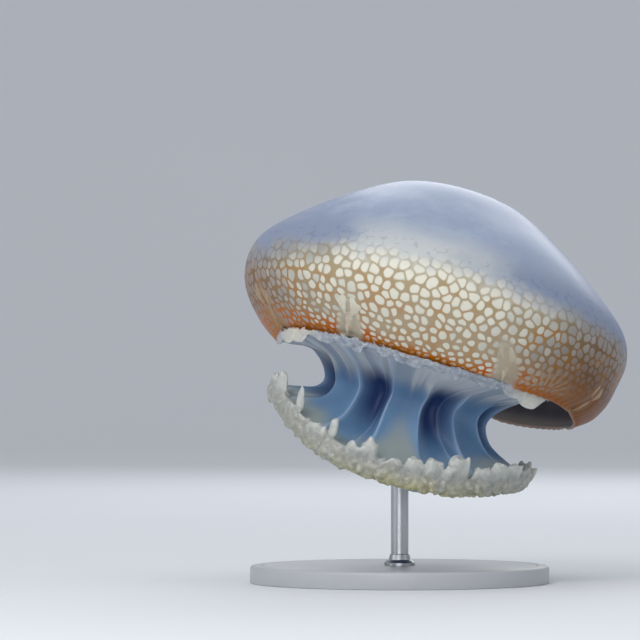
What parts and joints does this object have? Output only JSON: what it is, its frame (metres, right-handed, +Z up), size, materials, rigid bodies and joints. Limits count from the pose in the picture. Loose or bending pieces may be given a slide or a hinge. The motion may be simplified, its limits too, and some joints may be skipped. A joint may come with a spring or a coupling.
{
  "type": "cannonball jellyfish",
  "caption": "Life-size cannonball jellyfish with a domed, net-marked bell, a ruff of scapulets and a frilled column of oral arms, banked on a rod and disc stand.",
  "frame": {"origin": "on the floor, under the middle of the display stand's round base", "axes": "+Z up; +X to the side that the bell leans towards; +Y from the side seen first to the back"},
  "size_m": [0.1753, 0.179, 0.1832],
  "materials": {
    "bell_crown": "wet, milky periwinkle jelly, satin",
    "bell_margin": "wet jelly, cream spots in a tan and orange net",
    "sense_organ": "pale translucent folds",
    "scapulet_frill": "pale blue flesh with a white frilled edge",
    "arm_column": "glassy blue flesh, navy in the grooves",
    "arm_frill": "cream, knobbly frill",
    "stand_rod": "satin",
    "stand_base": "matt powder coat"
  },
  "bodies": {
    "root": {"bell_crown": "bell_crown", "bell_margin_1": "bell_margin", "bell_margin_2": "bell_margin", "bell_margin_3": "bell_margin", "bell_margin_4": "bell_margin", "bell_margin_5": "bell_margin", "bell_margin_6": "bell_margin", "bell_margin_7": "bell_margin", "bell_margin_8": "bell_margin", "rhopalium_1": "sense_organ", "rhopalium_2": "sense_organ", "rhopalium_3": "sense_organ", "rhopalium_4": "sense_organ", "rhopalium_5": "sense_organ", "rhopalium_6": "sense_organ", "rhopalium_7": "sense_organ", "rhopalium_8": "sense_organ", "scapulet_1": "scapulet_frill", "scapulet_2": "scapulet_frill", "scapulet_3": "scapulet_frill", "scapulet_4": "scapulet_frill", "scapulet_5": "scapulet_frill", "scapulet_6": "scapulet_frill", "scapulet_7": "scapulet_frill", "scapulet_8": "scapulet_frill", "scapulet_9": "scapulet_frill", "scapulet_10": "scapulet_frill", "scapulet_11": "scapulet_frill", "scapulet_12": "scapulet_frill", "scapulet_13": "scapulet_frill", "scapulet_14": "scapulet_frill", "scapulet_15": "scapulet_frill", "scapulet_16": "scapulet_frill", "manubrium": "arm_column", "oral_arm_1": "arm_column", "oral_arm_2": "arm_column", "oral_arm_3": "arm_column", "oral_arm_4": "arm_column", "oral_arm_5": "arm_column", "oral_arm_6": "arm_column", "oral_arm_7": "arm_column", "oral_arm_8": "arm_column", "arm_frill_1": "arm_frill", "arm_frill_2": "arm_frill", "arm_frill_3": "arm_frill", "arm_frill_4": "arm_frill", "arm_frill_5": "arm_frill", "arm_frill_6": "arm_frill", "arm_frill_7": "arm_frill", "arm_frill_8": "arm_frill", "stand_rod": "stand_rod", "stand_base": "stand_base"}
  },
  "joints": []
}
